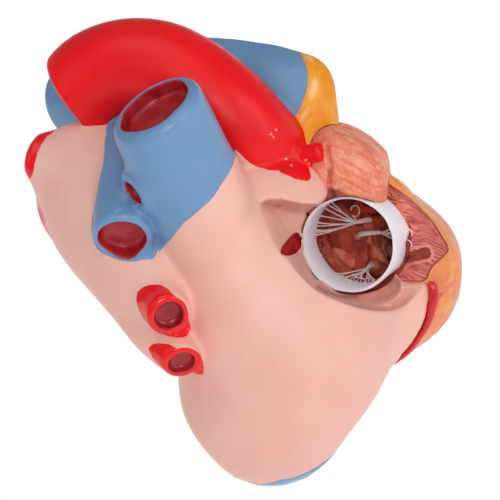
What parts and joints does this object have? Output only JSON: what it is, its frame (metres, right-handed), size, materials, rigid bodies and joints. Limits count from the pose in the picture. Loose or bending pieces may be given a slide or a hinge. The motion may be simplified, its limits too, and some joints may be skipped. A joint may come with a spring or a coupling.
{
  "type": "human heart anatomy model",
  "caption": "Life-size heart teaching model whose atrial section with the great vessels lifts off the ventricles, with a window onto the tricuspid valve.",
  "frame": {"origin": "mouth of the stand bush's bore in the underside of the ventricles", "axes": "+X the subject's left, +Y posterior, +Z superior; the stand bore opens towards -Z"},
  "size_m": [0.1318, 0.1244, 0.1414],
  "materials": {
    "atrial_wall_pink": "pale pink satin paint over a cast plastic shell",
    "arterial_red": "bright red satin-gloss paint",
    "venous_blue": "mid blue satin paint",
    "ventricle_muscle": "orange-brown muscle paint with yellow fat streaks",
    "conus_muscle": "salmon paint with brushed highlights",
    "papillary_muscle": "red-brown muscle paint",
    "valve_fabric": "white fibrous band",
    "chordae_white": "off-white strands",
    "valve_cusp": "cream satin",
    "bush_brass": "turned brass",
    "peg_wood": "plain off-white plastic",
    "magnet_steel": "plain steel"
  },
  "bodies": {
    "ventricle_section": {"anterior_chordae": "chordae_white", "anterior_papillary_muscle": "papillary_muscle", "anterolateral_papillary_muscle": "papillary_muscle", "aortic_valve_cusps": "valve_cusp", "circumflex_artery": "arterial_red", "conus_arteriosus": "conus_muscle", "coronary_sinus": "venous_blue", "great_cardiac_vein": "venous_blue", "left_anterior_descending_artery": "arterial_red", "left_ventricle": "ventricle_muscle", "locating_pegs": "peg_wood", "middle_cardiac_vein": "venous_blue", "mitral_chordae": "chordae_white", "mitral_valve_ring": "valve_fabric", "posterior_chordae": "chordae_white", "posterior_interventricular_artery": "arterial_red", "posterior_papillary_muscle": "papillary_muscle", "posteromedial_papillary_muscle": "papillary_muscle", "right_coronary_artery": "arterial_red", "right_ventricle": "ventricle_muscle", "septal_chordae": "chordae_white", "septal_papillary_muscle": "papillary_muscle", "stand_bush": "bush_brass", "tricuspid_valve_ring": "valve_fabric", "ventricle_magnet": "magnet_steel"},
    "atrial_section": {"aorta": "arterial_red", "atrial_magnet": "magnet_steel", "azygos_vein": "venous_blue", "inferior_vena_cava": "venous_blue", "left_atrium": "atrial_wall_pink", "left_auricle": "atrial_wall_pink", "left_inferior_pulmonary_vein": "arterial_red", "left_pulmonary_artery": "venous_blue", "left_superior_pulmonary_vein": "arterial_red", "pulmonary_trunk": "venous_blue", "pulmonary_valve_cusps": "valve_cusp", "right_atrium": "atrial_wall_pink", "right_coronary_stump": "arterial_red", "right_inferior_pulmonary_vein": "arterial_red", "right_pulmonary_artery": "venous_blue", "right_superior_pulmonary_vein": "arterial_red", "superior_vena_cava": "venous_blue"}
  },
  "joints": [
    {"name": "atrial_section_lift", "type": "slide", "parent": "ventricle_section", "child": "atrial_section", "axis": [-0.5916, 0.5916, 0.5478], "range_m": [0, 0.06]}
  ]
}
